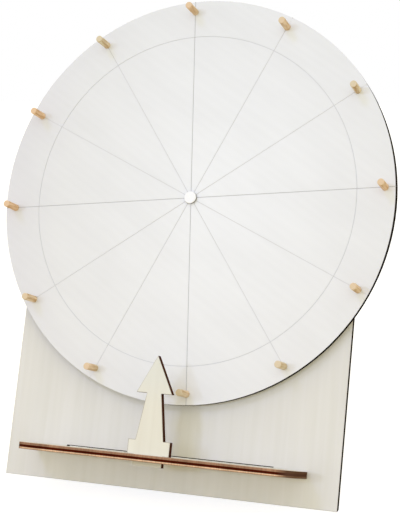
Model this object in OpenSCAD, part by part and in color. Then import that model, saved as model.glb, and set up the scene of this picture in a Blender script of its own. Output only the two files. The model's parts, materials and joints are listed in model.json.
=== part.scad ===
// Table-top prize wheel in laser-cut plywood.
// The board leans back on its foot, and a cross plate through the board props it from behind.
// The front of that plate is a shelf that carries the pointer arrow.
// The pieces are drawn in the board's own frame: x to the right, y up the board and z off its front face.

/* [Board] */
// Thickness of every plywood piece
ply = 6; // [4:0.5:8]
// Lean of the board back from upright, in degrees
lean = 17.25; // [14:0.25:22]
// Width of the back board
board_w = 319; // [300:1:360]
// Height of the axle up the board
axle_h = 268; // [256:1:290]
// Height of the board above the axle
board_over = 62; // [30:1:90]

/* [Shelf] */
// Height of the slot's lower edge up the board
slot_h = 25; // [20:0.2:32]
// Width of the tongue that passes through the board
tongue_w = 199.8; // [160:0.2:220]
// Free height above the tongue in its slot
slot_play = 0.5; // [0.1:0.1:1.5]
// Extra height of the slot at the front, where its upper edge is eased to let the tongue in
slot_ease = 0.8; // [0:0.1:1.5]
// Clearance beside a tongue or a tab in its slot
slot_clear = 0.1; // [0.05:0.05:0.3]
// Length of the flat ground under the tongue's rear end
heel_d = 3.2; // [1:0.2:6]
// Width of the shelf in front of the board
shelf_w = 261; // [230:1:290]
// Radius of the shelf's front corners
shelf_corner_r = 20; // [6:1:40]

/* [Pointer arrow] */
// Free gap between the peg tips and the back of the arrow
pointer_gap = 13.4; // [4:0.2:20]
// Distance of the arrow's face behind the shelf's front edge
arrow_setback = 4; // [2:0.5:14]
// Height of the arrow's tip above the shelf
arrow_h = 86.8; // [70:0.2:96]
// Height of the arrowhead
head_h = 33; // [24:0.5:40]
// Width of the arrowhead
head_w = 33.2; // [26:0.2:44]
// Width of the shaft under the arrowhead
neck_w = 13.4; // [9:0.2:20]
// Width of the shaft at the base block
ankle_w = 26; // [20:0.2:32]
// Width of the base block
base_w = 39; // [34:0.5:50]
// Height of the base block
base_h = 12.8; // [8:0.2:18]
// Width of the tab under the base block
tab_w = 27; // [18:0.5:32]
// Length of the tab that shows below the shelf
tab_drop = 3.8; // [1:0.2:8]

/* [Wheel] */
// Diameter of the wheel
wheel_d = 381; // [350:1:400]
// Turn of the wheel at rest, from a spoke level on the right, in degrees
wheel_turn = 4.85; // [-15:0.05:15]
// Number of spokes and pegs
peg_count = 12; // [4:2:16]
// Diameter of the dowel pegs
peg_d = 6.35; // [5:0.05:8]
// Height of the pegs above the wheel's face
peg_out = 19.5; // [10:0.5:30]
// Distance of the pegs inside the wheel's edge
peg_inset = 10; // [7:0.5:20]
// Rounding of the peg tips
peg_tip_r = 0.8; // [0.3:0.1:1.5]
// Radial clearance of a glued peg in its hole
glue_clear = 0.05; // [0.02:0.01:0.1]
// Distance of the engraved ring inside the wheel's edge
ring_inset = 35; // [26:0.5:60]
// Width of the engraved lines
line_w = 0.6; // [0.4:0.1:1.2]
// Depth of the engraved lines
line_d = 0.3; // [0.2:0.05:0.8]

/* [Axle] */
// Diameter of the axle post's barrel
post_d = 6.35; // [5.5:0.05:8]
// Wall of the barrel around the screw
post_wall = 1.1; // [0.8:0.1:1.5]
// Diameter of the heads of the post and the screw
head_d = 11.4; // [10:0.1:16]
// Thickness of the heads of the post and the screw
head_t = 2.8; // [1.6:0.1:4]
// Rounding of the heads' outer edges
head_edge_r = 0.6; // [0.2:0.1:0.7]
// Length of the screw in the barrel
screw_l = 9; // [5:0.5:10]
// Free length beyond the screw's end in the barrel
screw_gap = 1; // [0.5:0.1:2]
// Width of the screw's driver slot
drive_w = 1.2; // [0.8:0.1:1.8]
// Depth of the screw's driver slot
drive_d = 1; // [0.5:0.1:1.2]
// Diameter of the spacer between the wheel and the board
spacer_d = 16; // [13:0.5:30]
// Thickness of the spacer
spacer_t = 2.6; // [1.5:0.1:6]
// Diameter of the washer on the back of the board
washer_d = 16; // [13:0.5:30]
// Thickness of the washer
washer_t = 1; // [0.6:0.1:2]
// Radial clearance of the wheel's bore on the barrel
run_clear = 0.08; // [0.02:0.01:0.1]
// Radial clearance of the parts that the post clamps
seat_clear = 0.05; // [0.02:0.01:0.1]
// Axial gap on each side of the wheel
run_gap = 0.2; // [0.1:0.05:0.5]

/* [Hidden] */
// Overshoot of cuts beyond the faces they open
over = 1;
$fn = 72;

// Board and foot
foot_d = ply / cos(lean);
board_h = axle_h + board_over;
shelf_top = slot_h + ply;
tongue_l = slot_h / tan(lean) + heel_d;

// Wheel
wheel_r = wheel_d / 2;
wheel_back = spacer_t + run_gap;
wheel_front = wheel_back + ply;
peg_r = peg_d / 2;
peg_circle_r = wheel_r - peg_inset;
peg_l = ply + peg_out;
ring_r = wheel_r - ring_inset;
spoke_step = 360 / peg_count;

// Arrow and shelf depth follow the peg tips
arrow_back = wheel_front + peg_out + pointer_gap;
shelf_d = arrow_back + ply + arrow_setback;

// Axle
post_r = post_d / 2;
screw_bore_r = post_r - post_wall;
post_top = wheel_front + run_gap;
post_end = -ply - washer_t;
barrel_l = post_top - post_end;

function peg_name(i) = str("peg_", i < 10 ? "0" : "", i);
peg_names = [for (i = [1:peg_count]) peg_name(i)];

ply_colour = [0.92, 0.90, 0.86];
dowel_colour = [0.86, 0.70, 0.48];
nylon_colour = [0.96, 0.96, 0.95];
zinc_colour = [0.72, 0.73, 0.75];

// Leans the board's frame back, with the middle of the foot at the origin
module on_board() {
    translate([0, -foot_d / 2, 0])
        rotate([90 - lean, 0, 0])
            children();
}

// Frame on the axle, in the plane of the board's front face
module on_axle() {
    on_board()
        translate([0, axle_h, 0])
            children();
}

// Frame on the wheel's back face, turned with the wheel
module on_wheel() {
    on_axle()
        translate([0, 0, wheel_back])
            rotate(wheel_turn)
                children();
}

// Everything below the table top
module table() {
    reach = board_w + tongue_l;
    translate([-reach, -reach, -2 * reach])
        cube(2 * reach);
}

// Tube along z
module ring(outer_r, inner_r, h) {
    difference() {
        cylinder(r = outer_r, h = h);
        translate([0, 0, -over])
            cylinder(r = inner_r, h = h + 2 * over);
    }
}

// Round bar along z with its far edge rounded
module rounded_bar(r, h, edge_r) {
    rotate_extrude() {
        square([r, h - edge_r]);
        square([r - edge_r, h]);
        translate([r - edge_r, h - edge_r])
            circle(edge_r);
    }
}

// Plan of the shelf, with y from the board's face to the front edge
module shelf_plan() {
    square_w = shelf_w - 2 * shelf_corner_r;
    translate([-shelf_w / 2, 0])
        square([shelf_w, shelf_d - shelf_corner_r]);
    translate([-square_w / 2, 0])
        square([square_w, shelf_d]);
    for (side = [-1, 1])
        translate([side * square_w / 2, shelf_d - shelf_corner_r])
            circle(shelf_corner_r);
    translate([-tongue_w / 2, -tongue_l])
        square([tongue_w, tongue_l]);
}

// Right half of the arrow's outline from the tab to the tip, with y from the shelf's top
arrow_half = [
    [tab_w / 2, -ply - tab_drop],
    [tab_w / 2, 0],
    [base_w / 2, 0],
    [base_w / 2, base_h],
    [ankle_w / 2, base_h],
    [neck_w / 2, arrow_h - head_h],
    [head_w / 2, arrow_h - head_h],
    [0, arrow_h]
];
arrow_last = len(arrow_half) - 2;

// Side view of the board's slot, with x up the board and y off its front face
module slot_side() {
    slot_top = shelf_top + slot_play;
    polygon([
        [slot_h, -ply - over],
        [slot_top, -ply - over],
        [slot_top, -ply],
        [slot_top + slot_ease, 0],
        [slot_top + slot_ease, over],
        [slot_h, over]
    ]);
}

// Back board: slot for the tongue, hole for the axle and a foot cut level with the table
module back_board() {
    slot_w = tongue_w + 2 * slot_clear;
    color(ply_colour)
        difference() {
            on_board() {
                difference() {
                    translate([-board_w / 2, 0, -ply])
                        cube([board_w, board_h, ply]);
                    rotate([90, 0, 90])
                        linear_extrude(slot_w, center = true)
                            slot_side();
                    translate([0, axle_h, -ply - over])
                        cylinder(r = post_r + seat_clear, h = ply + 2 * over);
                }
            }
            table();
        }
}

// Cross plate: shelf in front of the board, tongue behind it that rests on the table at its heel
module cross_shelf() {
    tab_slot = [tab_w + 2 * slot_clear, ply + 2 * slot_clear];
    color(ply_colour)
        difference() {
            on_board()
                translate([0, shelf_top, 0])
                    rotate([90, 0, 0])
                        linear_extrude(ply)
                            difference() {
                                shelf_plan();
                                translate([-tab_slot.x / 2, arrow_back - slot_clear])
                                    square(tab_slot);
                            }
            table();
        }
}

// Pointer arrow: stands on the shelf with its tab through it
module pointer_arrow() {
    left_half = [for (i = [arrow_last:-1:0]) [-arrow_half[i].x, arrow_half[i].y]];
    color(ply_colour)
        on_board()
            translate([0, shelf_top, arrow_back])
                linear_extrude(ply)
                    polygon(concat(arrow_half, left_half));
}

// Wheel: engraved spokes and ring, holes for the pegs and a running bore for the axle
module wheel_disc() {
    color(ply_colour)
        on_wheel()
            difference() {
                cylinder(r = wheel_r, h = ply);
                translate([0, 0, -over])
                    cylinder(r = post_r + run_clear, h = ply + 2 * over);
                for (i = [0:peg_count - 1])
                    rotate(i * spoke_step)
                        translate([peg_circle_r, 0, -over])
                            cylinder(r = peg_r + glue_clear, h = ply + 2 * over);
                for (i = [0:peg_count - 1])
                    rotate(i * spoke_step)
                        translate([0, -line_w / 2, ply - line_d])
                            cube([wheel_r + over, line_w, line_d + over]);
                translate([0, 0, ply - line_d])
                    ring(ring_r + line_w / 2, ring_r - line_w / 2, line_d + over);
            }
}

// Dowel peg on one spoke, counted from the spoke on the right
module peg(i) {
    color(dowel_colour)
        on_wheel()
            rotate((i - 1) * spoke_step)
                translate([peg_circle_r, 0, 0])
                    rounded_bar(peg_r, peg_l, peg_tip_r);
}

// Axle post: round head in front of the wheel, barrel through the wheel, spacer, board and washer
module axle_post() {
    color(nylon_colour)
        on_axle()
            difference() {
                union() {
                    translate([0, 0, post_end])
                        cylinder(r = post_r, h = barrel_l + head_t / 2);
                    translate([0, 0, post_top])
                        rounded_bar(head_d / 2, head_t, head_edge_r);
                }
                translate([0, 0, post_end - over])
                    cylinder(r = screw_bore_r, h = screw_l + screw_gap + over);
            }
}

// Axle screw: closes the barrel from the back, with a slot for the driver
module axle_screw() {
    color(nylon_colour)
        on_axle()
            translate([0, 0, post_end])
                difference() {
                    union() {
                        cylinder(r = screw_bore_r - seat_clear, h = screw_l);
                        rotate([180, 0, 0])
                            rounded_bar(head_d / 2, head_t, head_edge_r);
                    }
                    translate([-head_d, -drive_w / 2, -head_t - over])
                        cube([2 * head_d, drive_w, drive_d + over]);
                }
}

// Spacer: holds the wheel off the board
module wheel_spacer() {
    color(nylon_colour)
        on_axle()
            ring(spacer_d / 2, post_r + seat_clear, spacer_t);
}

// Washer: spreads the screw's head on the back of the board
module back_washer() {
    color(zinc_colour)
        on_axle()
            translate([0, 0, post_end])
                ring(washer_d / 2, post_r + seat_clear, washer_t);
}

back_board();
cross_shelf();
pointer_arrow();
wheel_disc();
for (i = [1:peg_count])
    peg(i);
axle_post();
axle_screw();
wheel_spacer();
back_washer();
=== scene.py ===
# Looks of a table-top prize wheel in laser-cut plywood: finishes, floor, light and camera.
# Lengths are metres in the part's frame: +Z up, the wheel faces -Y and +X is to its right.

import json
import math

import bpy
from mathutils import Matrix, Vector

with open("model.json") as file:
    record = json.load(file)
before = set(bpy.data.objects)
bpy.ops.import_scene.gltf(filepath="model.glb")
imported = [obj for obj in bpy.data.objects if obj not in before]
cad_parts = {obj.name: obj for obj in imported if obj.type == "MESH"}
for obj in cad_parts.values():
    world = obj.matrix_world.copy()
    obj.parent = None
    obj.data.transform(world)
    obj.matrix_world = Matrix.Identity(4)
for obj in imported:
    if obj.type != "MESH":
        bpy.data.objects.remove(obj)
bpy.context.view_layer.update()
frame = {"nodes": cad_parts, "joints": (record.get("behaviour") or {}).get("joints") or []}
nodes = frame["nodes"]

MM = 0.001

# The wheel's axle and the leaning board give the directions that the panels and their grain follow
spin = next(joint for joint in frame["joints"] if joint["name"] == "wheel_spin")
HUB = Vector(spin["pos_m"])
OFF_BOARD = Vector(spin["axis"]).normalized()
RIGHT = Vector((1, 0, 0))
UP_BOARD = OFF_BOARD.cross(RIGHT)


def along_board(angle):
    """A direction level with the board, turned up from its right by an angle in degrees."""
    return RIGHT * math.cos(math.radians(angle)) + UP_BOARD * math.sin(math.radians(angle))


def reach(name, axis):
    """Lowest and highest place of a node along an axis."""
    places = [vertex.co.dot(axis) for vertex in nodes[name].data.vertices]
    return min(places), max(places)


WHEEL_BACK, WHEEL_FACE = reach("wheel_disc", OFF_BOARD)
WHEEL_RADIUS = reach("wheel_disc", RIGHT)[1] - HUB.dot(RIGHT)
RING_INSET = 35 * MM
RING_RADIUS = WHEEL_RADIUS - RING_INSET

# Every peg stands on a spoke, so the first one shows how far the wheel is turned
PEGS = sorted(name for name in nodes if name.startswith("peg_"))
first_peg = Vector()
for axis in (RIGHT, UP_BOARD):
    first_peg += axis * (sum(reach(PEGS[0], axis)) / 2 - HUB.dot(axis))
FIRST_SPOKE = first_peg.normalized()
PEG_RADIUS = first_peg.length


# Shader helpers

# Places of the sockets on a Map Range node: the ends of the stretch that counts, and the values there
LOW, HIGH, AT_LOW, AT_HIGH = 1, 2, 3, 4
# Places of the colour sockets on a Mix node
FACTOR, COLOUR_A, COLOUR_B, COLOUR_OUT = 0, 6, 7, 2
# Noise seldom leaves this stretch
NOISE_STRETCH = (0.3, 0.7)


def linear(code):
    """An sRGB hex colour as linear RGBA."""
    parts = [int(code[i:i + 2], 16) / 255 for i in (1, 3, 5)]
    return tuple(p / 12.92 if p <= 0.04045 else ((p + 0.055) / 1.055) ** 2.4 for p in parts) + (1.0,)


def feed(tree, node, sources):
    """Links what feeds a node's inputs."""
    for socket, source in sources.items():
        tree.links.new(source, node.inputs[socket])


def add(tree, kind, values=None, links=None, stops=(), **settings):
    """Adds a node. settings are its properties, values its free inputs and links what feeds its inputs.

    stops are the (place, colour) pairs of a ramp, from its start to its end.
    """
    made = tree.nodes.new(kind)
    for name, value in settings.items():
        setattr(made, name, value)
    for socket, value in (values or {}).items():
        made.inputs[socket].default_value = value
    feed(tree, made, links or {})
    for place, _ in stops[2:]:
        made.color_ramp.elements.new(place)
    for index, (place, code) in enumerate(stops):
        made.color_ramp.elements[index].position = place
        made.color_ramp.elements[index].color = linear(code)
    return made


def new_material(name):
    """A material with its node tree and main shader."""
    material = bpy.data.materials.new(name)
    material.use_nodes = True
    tree = material.node_tree
    return material, tree, tree.nodes["Principled BSDF"]


def wear(name, material):
    """Gives a CAD node its finish."""
    slots = nodes[name].data.materials
    slots.clear()
    slots.append(material)


def own_axes(face, grain, back):
    """Origin and turn of a panel's own axes: x across the grain, y along it, z up from its back face."""
    turn = Matrix((grain.cross(face), grain, face)).transposed().to_euler()
    return HUB + face * (back - HUB.dot(face)), turn


# The wheel's axes as it stands, and with its first spoke for a grain
WHEEL_AXES = own_axes(OFF_BOARD, UP_BOARD, WHEEL_BACK)
SPOKE_AXES = own_axes(OFF_BOARD, FIRST_SPOKE, WHEEL_BACK)


def placed(tree, axes, lengths=(1, 1, 1)):
    """Object coordinates along a panel's own axes, counted in the given lengths."""
    origin, turn = axes
    place = add(tree, "ShaderNodeTexCoord").outputs["Object"]
    return add(tree, "ShaderNodeMapping", {"Location": origin, "Rotation": turn, "Scale": lengths},
               {"Vector": place}, vector_type="TEXTURE").outputs[0]


def from_origin(tree, axes, lengths=(1, 1, 1)):
    """Distance from the origin of a panel's own axes, level with its face, counted in the given lengths."""
    flat = add(tree, "ShaderNodeVectorMath", {1: (1, 1, 0)}, {0: placed(tree, axes, lengths)},
               operation="MULTIPLY").outputs[0]
    return add(tree, "ShaderNodeVectorMath", links={0: flat}, operation="LENGTH").outputs["Value"]


def shaded(tree, tone, pattern, stretch, brightness):
    """A tone made lighter or darker by a pattern.

    stretch is the part of the pattern that counts, and brightness what it gives at its two ends.
    """
    low, high = stretch
    first, last = brightness
    shade = add(tree, "ShaderNodeMapRange", {LOW: low, HIGH: high, AT_LOW: first, AT_HIGH: last},
                {0: pattern}).outputs[0]
    return add(tree, "ShaderNodeVectorMath", links={0: tone, "Scale": shade}, operation="SCALE").outputs[0]


def tinted(tree, tone, colour, measure, stretch, shares=(0, 1)):
    """A tone that turns into a colour.

    stretch is where on a measure the turn starts and ends, and shares how much of the colour is there.
    """
    low, high = stretch
    first, last = shares
    share = add(tree, "ShaderNodeMapRange", {LOW: low, HIGH: high, AT_LOW: first, AT_HIGH: last},
                {0: measure}).outputs[0]
    return add(tree, "ShaderNodeMix", {COLOUR_B: linear(colour)}, {FACTOR: share, COLOUR_A: tone},
               data_type="RGBA").outputs[COLOUR_OUT]


def finish(tree, shader, tone, pattern, stretch, rough, strength, height):
    """Feeds the main shader its colour, and the roughness and bump that follow one pattern.

    stretch is the part of the pattern that counts, rough the roughness at its two ends, and strength and
    height those of the bump.
    """
    low, high = stretch
    first, last = rough
    sheen = add(tree, "ShaderNodeMapRange", {LOW: low, HIGH: high, AT_LOW: first, AT_HIGH: last},
                {0: pattern}).outputs[0]
    bump = add(tree, "ShaderNodeBump", {"Strength": strength, "Distance": height},
               {"Height": pattern}).outputs[0]
    feed(tree, shader, {"Base Color": tone, "Roughness": sheen, "Normal": bump})


# Birch plywood, sanded and left bare, laser cut

# What the eye sees: an almost white matt face with faint long streaks along the grain, a slow flowing
# figure, cloudy patches and fine pores, a thin scorched line beside most cuts, and edges burnt dark brown
# in layers that follow the veneers.
STREAK = (6 * MM, 140 * MM, 6 * MM)
FIGURE = (26 * MM, 210 * MM, 26 * MM)
CLOUD = (32 * MM, 70 * MM, 32 * MM)
# Real pores are a tenth of this width: they are drawn as coarse as they need to show
PORE = (0.9 * MM, 11 * MM, 0.9 * MM)
SCORCH_WIDTH = 0.8 * MM
# Laser lines across a cut edge are about 0.2 mm apart: they are drawn coarser to show
CUT_LINE = (1.3 * MM, 1.3 * MM, 14 * MM)
SOOT_PATCH = (14 * MM, 14 * MM, 14 * MM)
# What is closer to a face than this is the face, and what is closer to the rim is the rim
FACE_SKIN = 0.02 * MM
RIM_SKIN = 0.25 * MM
# What is closer to an engraved line than this is the line
LINE_REACH = 1 * MM
# The wheel's face has a painted sheen: it is palest a little to the right of its hub, and duller in tall
# ovals around that spot
SHEEN_SPOT = RIGHT * 35 * MM
SHEEN_SHAPE = (1, 1.35, 1)
SHEEN_FADE_START = 20 * MM
SHEEN_FADE_END = 225 * MM
# Smoke from the cut darkened a thin crescent of the wheel's face, beside the rim
SMOKE_SIDE = along_board(8)
SMOKE_WIDTH = 0.9 * MM
SMOKE_BLUR = 0.3 * MM
SMOKE_SHIFT = 5 * MM
SMOKE_COLOUR = "#2A211C"


def ply_face(tree, axes, streaks, pale, streak):
    """Colour of the sanded face."""
    figure = add(tree, "ShaderNodeTexWave",
                 {"Scale": 1, "Distortion": 7, "Detail": 2, "Detail Scale": 0.6, "Detail Roughness": 0.4},
                 {"Vector": placed(tree, axes, FIGURE)}, bands_direction="X").outputs["Fac"]
    clouds = add(tree, "ShaderNodeTexNoise", {"Scale": 1, "Detail": 2},
                 {"Vector": placed(tree, axes, CLOUD)}).outputs[0]
    pores = add(tree, "ShaderNodeTexNoise", {"Scale": 1, "Detail": 1},
                {"Vector": placed(tree, axes, PORE)}).outputs[0]
    tone = add(tree, "ShaderNodeValToRGB", links={0: streaks},
               stops=[(0.35, pale), (0.8, streak)]).outputs[0]
    tone = shaded(tree, tone, figure, stretch=(0, 1), brightness=(1.004, 0.995))
    tone = shaded(tree, tone, clouds, stretch=(0.35, 0.7), brightness=(1.012, 0.982))
    return shaded(tree, tone, pores, stretch=(0.66, 0.8), brightness=(1, 0.988))


def ply_edge(tree, axes, layer, layers):
    """Colour of the burnt edge, in layers from the back face to the front."""
    tone = add(tree, "ShaderNodeValToRGB", links={0: layer}, stops=layers).outputs[0]
    for lengths in (CUT_LINE, SOOT_PATCH):
        soot = add(tree, "ShaderNodeTexNoise", {"Scale": 1, "Detail": 2},
                   {"Vector": placed(tree, axes, lengths)}).outputs[0]
        tone = shaded(tree, tone, soot, NOISE_STRETCH, brightness=(0.8, 1.15))
    return tone


def scorched(tree, tone, colour, depth):
    """A face's tone with the thin burnt line that the laser leaves beside each cut."""
    off_cut = add(tree, "ShaderNodeAmbientOcclusion", {"Distance": SCORCH_WIDTH}, inside=True,
                  only_local=True, samples=8).outputs["AO"]
    return tinted(tree, tone, colour, off_cut, stretch=(0.5, 0.95), shares=(depth, 0))


def stain_or_painted_shade(tree, axes, tone, colour, start, end, most):
    """A tone that turns, as far as most, into a colour from one place to another along the grain: a stain,
    or painted shade.
    """
    along = add(tree, "ShaderNodeSeparateXYZ", links={0: placed(tree, axes)}).outputs["Y"]
    return tinted(tree, tone, colour, along, stretch=(start, end), shares=(0, most))


def painted_sheen_and_warm_tint(tree, tone):
    """The wheel's face with a painted sheen, palest near its hub and duller at the rim, and warmer low down.
    """
    origin, turn = WHEEL_AXES
    away = from_origin(tree, (origin + SHEEN_SPOT, turn), SHEEN_SHAPE)
    share = add(tree, "ShaderNodeMapRange", {LOW: SHEEN_FADE_START, HIGH: SHEEN_FADE_END}, {0: away}).outputs[0]
    # Painted sheen: the face's colour falls off from the bright spot towards the rim
    painted_sheen = add(tree, "ShaderNodeValToRGB", links={0: share},
               stops=[(0, "#FFFFFF"), (0.73, "#F5F4F2"), (1, "#F0EEEE")]).outputs[0]
    rise = add(tree, "ShaderNodeSeparateXYZ", links={0: placed(tree, WHEEL_AXES)}).outputs["Y"]
    share = add(tree, "ShaderNodeMapRange", {LOW: -WHEEL_RADIUS, HIGH: WHEEL_RADIUS}, {0: rise}).outputs[0]
    warm = add(tree, "ShaderNodeValToRGB", links={0: share},
               stops=[(0, "#FFFEFC"), (1, "#FDFEFF")]).outputs[0]
    for tint in (painted_sheen, warm):
        tone = add(tree, "ShaderNodeVectorMath", links={0: tone, 1: tint}, operation="MULTIPLY").outputs[0]
    return tone


def smoked(tree, axes, tone):
    """The wheel's face with the thin dark crescent that smoke left along one side of its rim."""
    origin, turn = axes
    away = from_origin(tree, (origin - SMOKE_SIDE * SMOKE_SHIFT, turn))
    inner = WHEEL_RADIUS + SMOKE_SHIFT - SMOKE_WIDTH
    return tinted(tree, tone, SMOKE_COLOUR, away, stretch=(inner, inner + SMOKE_BLUR))


def engraved(tree, axes, rim, spoke, ring, outer, deep):
    """Colour of the wheel's cuts: the rim's own, or inside it that of the engraved spokes and ring.

    outer is the paler colour of the spokes beyond the pegs, and deep that of the four spokes that the
    laser drew along its own two directions.
    """
    radius = from_origin(tree, axes)
    share = add(tree, "ShaderNodeMapRange", {HIGH: WHEEL_RADIUS}, {0: radius}).outputs[0]
    stops = [(0, spoke), ((RING_RADIUS - LINE_REACH) / WHEEL_RADIUS, ring),
             ((RING_RADIUS + LINE_REACH) / WHEEL_RADIUS, spoke), (PEG_RADIUS / WHEEL_RADIUS, outer)]
    lines = add(tree, "ShaderNodeValToRGB", links={0: share}, stops=stops)
    lines.color_ramp.interpolation = "CONSTANT"
    off_hub = add(tree, "ShaderNodeVectorMath", links={0: placed(tree, SPOKE_AXES)}, operation="ABSOLUTE")
    ways = add(tree, "ShaderNodeSeparateXYZ", links={0: off_hub.outputs[0]})
    off_line = add(tree, "ShaderNodeMath", links={0: ways.outputs["X"], 1: ways.outputs["Y"]},
                   operation="MINIMUM")
    straight = add(tree, "ShaderNodeMath", {1: LINE_REACH}, {0: off_line.outputs[0]}, operation="LESS_THAN")
    drawn = add(tree, "ShaderNodeMix", {COLOUR_B: linear(deep)},
                {FACTOR: straight.outputs[0], COLOUR_A: lines.outputs[0]},
                data_type="RGBA").outputs[COLOUR_OUT]
    inside = add(tree, "ShaderNodeMath", {1: WHEEL_RADIUS - RIM_SKIN}, {0: radius},
                 operation="LESS_THAN").outputs[0]
    return add(tree, "ShaderNodeMix", links={FACTOR: inside, COLOUR_A: rim, COLOUR_B: drawn},
               data_type="RGBA").outputs[COLOUR_OUT]


def plywood(panel, name, face, grain, pale, streak, layers, scorch=None, lines=None, face_stains_and_shade=(),
            edge_stains=()):
    """Gives one panel its bare plywood.

    pale and streak are the colours of its face, and layers those of its burnt edge. scorch is the colour and
    depth of the line beside its cuts, and lines the colours of the engraved lines. Each stain, or painted
    shade on a face, is a colour, where it starts and ends along the grain, and its share at the end.
    """
    back, front = reach(panel, face)
    thick = front - back
    axes = own_axes(face, grain, back)
    material, tree, shader = new_material(name)
    streaks = add(tree, "ShaderNodeTexNoise", {"Scale": 1, "Detail": 3, "Distortion": 0.4},
                  {"Vector": placed(tree, axes, STREAK)}).outputs[0]
    face_tone = ply_face(tree, axes, streaks, pale, streak)
    if lines:
        # The wheel's face gets its painted sheen near the hub
        face_tone = smoked(tree, axes, painted_sheen_and_warm_tint(tree, face_tone))
    if scorch:
        face_tone = scorched(tree, face_tone, *scorch)
    for stain in face_stains_and_shade:
        face_tone = stain_or_painted_shade(tree, axes, face_tone, *stain)
    depth = add(tree, "ShaderNodeSeparateXYZ", links={0: placed(tree, axes)}).outputs["Z"]
    layer = add(tree, "ShaderNodeMapRange", {HIGH: thick}, {0: depth}).outputs[0]
    cut_tone = ply_edge(tree, axes, layer, layers)
    for stain in edge_stains:
        cut_tone = stain_or_painted_shade(tree, axes, cut_tone, *stain)
    if lines:
        cut_tone = engraved(tree, axes, cut_tone, **lines)
    on_cut = add(tree, "ShaderNodeMath", {1: thick / 2, 2: thick / 2 - FACE_SKIN}, {0: depth},
                 operation="COMPARE").outputs[0]
    tone = add(tree, "ShaderNodeMix", links={FACTOR: on_cut, COLOUR_A: face_tone, COLOUR_B: cut_tone},
               data_type="RGBA").outputs[COLOUR_OUT]
    finish(tree, shader, tone, streaks, NOISE_STRETCH, rough=(0.58, 0.7), strength=0.12, height=0.08 * MM)
    # The face has a faint shine and the burnt cut has none
    shine = add(tree, "ShaderNodeMapRange", {AT_LOW: 0.12, AT_HIGH: 0}, {0: on_cut}).outputs[0]
    feed(tree, shader, {"Specular IOR Level": shine})
    wear(panel, material)


# The wheel stopped with its grain running down to the right
WHEEL_GRAIN = along_board(-33)
BURNT_RIM = [(0.0, "#1C1512"), (0.5, "#120D0B"), (0.9, "#1C1613"), (1.0, "#382C26")]
WHEEL_LINES = {"spoke": "#DBDBDE", "ring": "#D8D9DD", "outer": "#E6E7EB", "deep": "#C9C9CC"}
plywood("wheel_disc", "birch_plywood_wheel", OFF_BOARD, WHEEL_GRAIN, "#F1F3F9", "#F0F2F8", BURNT_RIM,
        lines=WHEEL_LINES)

BURNT_BOARD = [(0.0, "#2C211B"), (0.5, "#1E1613"), (0.9, "#2A211C"), (1.0, "#453830")]
plywood("back_board", "birch_plywood_board", OFF_BOARD, UP_BOARD, "#E2E0DC", "#DEDCD6", BURNT_BOARD,
        scorch=("#6E5A49", 0.25))

# The shelf's burnt edge has a pale veneer under a dark core, and soot on its ends, mostly the right one
BURNT_SHELF = [(0.0, "#8A6A54"), (0.07, "#9A765C"), (0.11, "#DDB798"), (0.25, "#E0BA98"), (0.30, "#461405"),
               (0.62, "#441407"), (0.68, "#A07A60"), (0.85, "#9C765E"), (1.0, "#B08C74")]
SHELF_SOOT = (("#5A4034", 118 * MM, 125 * MM, 0.88), ("#5A4034", -118 * MM, -125 * MM, 0.3))
plywood("cross_shelf", "birch_plywood_shelf", UP_BOARD, RIGHT, "#EAE4D5", "#E2DAC8", BURNT_SHELF,
        scorch=("#8E7660", 0.6), edge_stains=SHELF_SOOT)

# The arrow's face is greyer towards its tip, and its tab below the shelf is darkened with painted shade
BURNT_ARROW = [(0.0, "#503124"), (0.3, "#46271D"), (0.9, "#48291E"), (1.0, "#553528")]
ARROW_TINT_AND_SHADE = (("#E0E2DD", -195 * MM, -170 * MM, 0.5), ("#C2BCAC", -238 * MM, -242 * MM, 1))
plywood("pointer_arrow", "birch_plywood_arrow", OFF_BOARD, UP_BOARD, "#E8E5D9", "#E4E0D3", BURNT_ARROW,
        scorch=("#7A6450", 0.7), face_stains_and_shade=ARROW_TINT_AND_SHADE)


# Birch dowel, cut to length and left bare

# What the eye sees: warm tan rods, each a little different, streaked along their length, with paler ends.
# Real streaks are finer: they are drawn as coarse as they need to show
DOWEL_STREAK = (2.2 * MM, 2.2 * MM, 18 * MM)
# The rods' tones come from one slow pattern, started where it puts the warmest rods on the left
DOWEL_TONE = (60 * MM, 60 * MM, 60 * MM)
DOWEL_START = RIGHT * 395 * MM + UP_BOARD * 70 * MM + OFF_BOARD * 200 * MM
END_SKIN = 0.5 * MM


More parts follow.
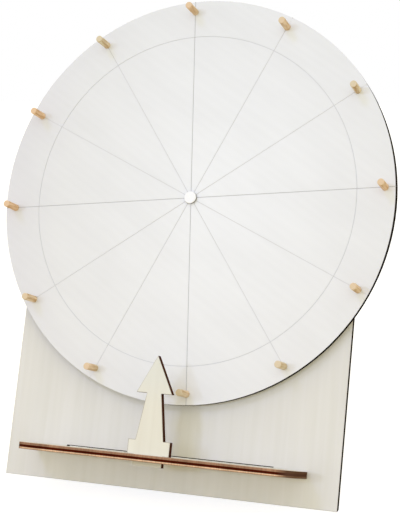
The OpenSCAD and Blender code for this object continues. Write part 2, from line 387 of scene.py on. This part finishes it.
def dowel():
    """Bare dowel for all the pegs."""
    back, tip = reach(PEGS[0], OFF_BOARD)
    axes = own_axes(OFF_BOARD, UP_BOARD, back)
    material, tree, shader = new_material("birch_dowel")
    streaks = add(tree, "ShaderNodeTexNoise", {"Scale": 1, "Detail": 3},
                  {"Vector": placed(tree, axes, DOWEL_STREAK)}).outputs[0]
    side_tone = add(tree, "ShaderNodeValToRGB", links={0: streaks},
                    stops=[(0.3, "#F9EEDF"), (0.7, "#C9AB84")]).outputs[0]
    length = add(tree, "ShaderNodeSeparateXYZ", links={0: placed(tree, axes)}).outputs["Z"]
    on_end = add(tree, "ShaderNodeMath", {1: tip - back - END_SKIN}, {0: length},
                 operation="GREATER_THAN").outputs[0]
    grown = add(tree, "ShaderNodeMix", {COLOUR_B: linear("#E6D8C5")}, {FACTOR: on_end, COLOUR_A: side_tone},
                data_type="RGBA").outputs[COLOUR_OUT]
    origin, turn = axes
    rod = add(tree, "ShaderNodeTexNoise", {"Scale": 1, "Detail": 0},
              {"Vector": placed(tree, (origin + DOWEL_START, turn), DOWEL_TONE)}).outputs[0]
    tint = add(tree, "ShaderNodeValToRGB", links={0: rod},
               stops=[(0.4, "#F2F2E6"), (0.7, "#FFE9D2")]).outputs[0]
    tone = add(tree, "ShaderNodeVectorMath", links={0: grown, 1: tint}, operation="MULTIPLY").outputs[0]
    finish(tree, shader, tone, streaks, NOISE_STRETCH, rough=(0.5, 0.62), strength=0.3, height=0.06 * MM)
    shader.inputs["Specular IOR Level"].default_value = 0.2
    return material


peg_wood = dowel()
for name in PEGS:
    wear(name, peg_wood)


# White nylon, moulded

# What the eye sees: a white button with a soft satin shine and a very fine grain from the mould, with grey
# painted shade on its side, close to the wheel.
MOULD_GRAIN = (0.5 * MM, 0.5 * MM, 0.5 * MM)
HEAD_SIDE_SHADE = 2 * MM


def nylon():
    """Moulded nylon for the axle post, its screw and the spacer."""
    material, tree, shader = new_material("moulded_nylon")
    grain = add(tree, "ShaderNodeTexNoise", {"Scale": 1, "Detail": 2},
                {"Vector": placed(tree, WHEEL_AXES, MOULD_GRAIN)}).outputs[0]
    clean = add(tree, "ShaderNodeValToRGB", links={0: grain},
                stops=[(0.2, "#FAFBFE"), (0.8, "#F3F4F7")]).outputs[0]
    # The head's side next to the wheel is painted grey as shade
    depth = add(tree, "ShaderNodeSeparateXYZ", links={0: placed(tree, WHEEL_AXES)}).outputs["Z"]
    shade_band_middle = WHEEL_FACE - WHEEL_BACK + HEAD_SIDE_SHADE / 2
    foot = add(tree, "ShaderNodeMath", {1: shade_band_middle, 2: HEAD_SIDE_SHADE / 2}, {0: depth},
               operation="COMPARE").outputs[0]
    tone = add(tree, "ShaderNodeMix", {COLOUR_B: linear("#86868E")}, {FACTOR: foot, COLOUR_A: clean},
               data_type="RGBA").outputs[COLOUR_OUT]
    finish(tree, shader, tone, grain, NOISE_STRETCH, rough=(0.34, 0.46), strength=0.15, height=0.03 * MM)
    shader.inputs["IOR"].default_value = 1.53
    return material


white_nylon = nylon()
for name in ("axle_post", "axle_screw", "wheel_spacer"):
    wear(name, white_nylon)


# Zinc-plated steel, stamped

# What the eye sees: a cool grey washer with faint rings from rolling and plating, half shiny.
PLATING_RING = 0.9 * MM
# A wave of scale 1 repeats after this length
WAVE_LENGTH = math.tau / 20


def zinc():
    """Zinc-plated steel for the back washer."""
    material, tree, shader = new_material("zinc_plated_steel")
    rings = add(tree, "ShaderNodeTexWave",
                {"Scale": WAVE_LENGTH / PLATING_RING, "Distortion": 1.5, "Detail": 2},
                {"Vector": placed(tree, WHEEL_AXES)}, wave_type="RINGS", rings_direction="Z").outputs["Fac"]
    tone = add(tree, "ShaderNodeValToRGB", links={0: rings},
               stops=[(0, "#C3C6CA"), (1, "#A9ADB3")]).outputs[0]
    finish(tree, shader, tone, rings, stretch=(0, 1), rough=(0.3, 0.42), strength=0.2, height=0.02 * MM)
    shader.inputs["Metallic"].default_value = 1.0
    return material


wear("back_washer", zinc())


# Floor and sky: plain and pale, white to the camera where no shadow falls

FLOOR_SIZE = 60
FLOOR_DROP = 0.1 * MM
FLOOR_COLOUR = "#D5C8A0"
# Light that only the camera sees lifts the floor to white
FLOOR_LIFT = 0.78
FLOOR_LIFT_COLOUR = "#DEE9FF"
SKY_LEVEL = 0.84
SKY_COLOUR = (1.045, 0.995, 0.79, 1)
WHITE = (1, 1, 1, 1)


def shown(tree):
    """1 for what the camera sees, straight or mirrored, and 0 for the light that reaches a surface."""
    path = add(tree, "ShaderNodeLightPath")
    mirrored = add(tree, "ShaderNodeMath",
                   links={0: path.outputs["Is Glossy Ray"], 1: path.outputs["Is Transmission Ray"]},
                   operation="MAXIMUM").outputs[0]
    return add(tree, "ShaderNodeMath", links={0: path.outputs["Is Camera Ray"], 1: mirrored},
               operation="MAXIMUM").outputs[0]


def make_floor():
    """A wide pale floor under the foot."""
    bpy.ops.object.select_all(action="DESELECT")
    bpy.ops.mesh.primitive_plane_add(size=FLOOR_SIZE, location=(0, 0, -FLOOR_DROP))
    floor = bpy.context.active_object
    floor.name = "floor"
    material, tree, shader = new_material("pale_floor")
    shader.inputs["Base Color"].default_value = linear(FLOOR_COLOUR)
    shader.inputs["Roughness"].default_value = 0.9
    shader.inputs["Specular IOR Level"].default_value = 0.1
    shader.inputs["Emission Color"].default_value = linear(FLOOR_LIFT_COLOUR)
    lift = add(tree, "ShaderNodeMath", {1: FLOOR_LIFT}, {0: shown(tree)}, operation="MULTIPLY").outputs[0]
    feed(tree, shader, {"Emission Strength": lift})
    floor.data.materials.append(material)


def make_sky():
    """An even warm sky all round."""
    world = bpy.data.worlds.new("studio")
    world.use_nodes = True
    bpy.context.scene.world = world
    tree = world.node_tree
    tree.nodes.clear()
    seen = shown(tree)
    level = add(tree, "ShaderNodeMapRange", {AT_LOW: SKY_LEVEL, AT_HIGH: 1}, {0: seen}).outputs[0]
    colour = add(tree, "ShaderNodeMix", {COLOUR_A: SKY_COLOUR, COLOUR_B: WHITE}, {FACTOR: seen},
                 data_type="RGBA").outputs[COLOUR_OUT]
    glow = add(tree, "ShaderNodeBackground", links={"Color": colour, "Strength": level}).outputs[0]
    add(tree, "ShaderNodeOutputWorld", links={"Surface": glow})


make_floor()
make_sky()


# Lamps: a wide cool window on the left, and softer ones on the right, high on the left and behind

# Each lamp of the window: its angle to the right of the wheel's axle, its level and its spread
WINDOW = ((-22, 0.085, 5), (-12, 0.03, 9), (-3, 0.03, 9))
# How far the window lies above the axle, in degrees
WINDOW_RISE = 2
WINDOW_COLOUR = (0.85, 1.0, 1.4)
LOW_BEHIND = Vector((0, 0.96, 0.28))


def off_wheel(right, above):
    """A direction off the wheel's face, turned to the right and up the board by angles in degrees."""
    side = math.tan(math.radians(right))
    rise = math.tan(math.radians(above))
    return (OFF_BOARD + RIGHT * side + UP_BOARD * rise).normalized()


def add_lamp(name, source, level, spread, colour):
    """A far lamp that shines from a direction, spread over an angle in degrees.

    At level 1 it lights a white face square to it fully.
    """
    lamp = bpy.data.lights.new(name, "SUN")
    lamp.energy = level * math.pi
    lamp.angle = math.radians(spread)
    lamp.color = colour
    holder = bpy.data.objects.new(name, lamp)
    holder.rotation_mode = "QUATERNION"
    holder.rotation_quaternion = source.to_track_quat("Z", "Y")
    bpy.context.scene.collection.objects.link(holder)


for number, (angle, level, spread) in enumerate(WINDOW):
    add_lamp(f"left_{number}", off_wheel(angle, WINDOW_RISE), level, spread, WINDOW_COLOUR)
add_lamp("right", off_wheel(right=16, above=10), level=0.08, spread=40, colour=(0.9, 1.0, 1.1))
add_lamp("upper_left", off_wheel(right=-22, above=32), level=0.055, spread=12, colour=(0.8, 1.0, 2.5))
add_lamp("back", LOW_BEHIND, level=0.22, spread=40, colour=(0.75, 1.0, 1.8))

bpy.context.scene.view_settings.view_transform = "Standard"


# Camera: placed from the wheel's face by the photograph's perspective, on a 400 by 513 image

IMAGE_HEIGHT = 513
FOCAL_PIXELS = 1246.2
SENSOR_WIDTH = 36
CAMERA_RIGHT, CAMERA_UP, CAMERA_OUT = 403.8 * MM, -223.5 * MM, 1055.0 * MM
TARGET_RIGHT, TARGET_UP = 14.8 * MM, -54.35 * MM

wheel_centre = HUB + OFF_BOARD * (WHEEL_FACE - HUB.dot(OFF_BOARD))
eye = wheel_centre + RIGHT * CAMERA_RIGHT + UP_BOARD * CAMERA_UP + OFF_BOARD * CAMERA_OUT
target = wheel_centre + RIGHT * TARGET_RIGHT + UP_BOARD * TARGET_UP
lens = bpy.data.cameras.new("camera")
lens.sensor_width = SENSOR_WIDTH
lens.lens = SENSOR_WIDTH * FOCAL_PIXELS / IMAGE_HEIGHT
camera = bpy.data.objects.new("camera", lens)
camera.location = eye
camera.rotation_mode = "QUATERNION"
camera.rotation_quaternion = (target - eye).to_track_quat("-Z", "Y")
bpy.context.scene.collection.objects.link(camera)
bpy.context.scene.camera = camera

bpy.context.view_layer.update()
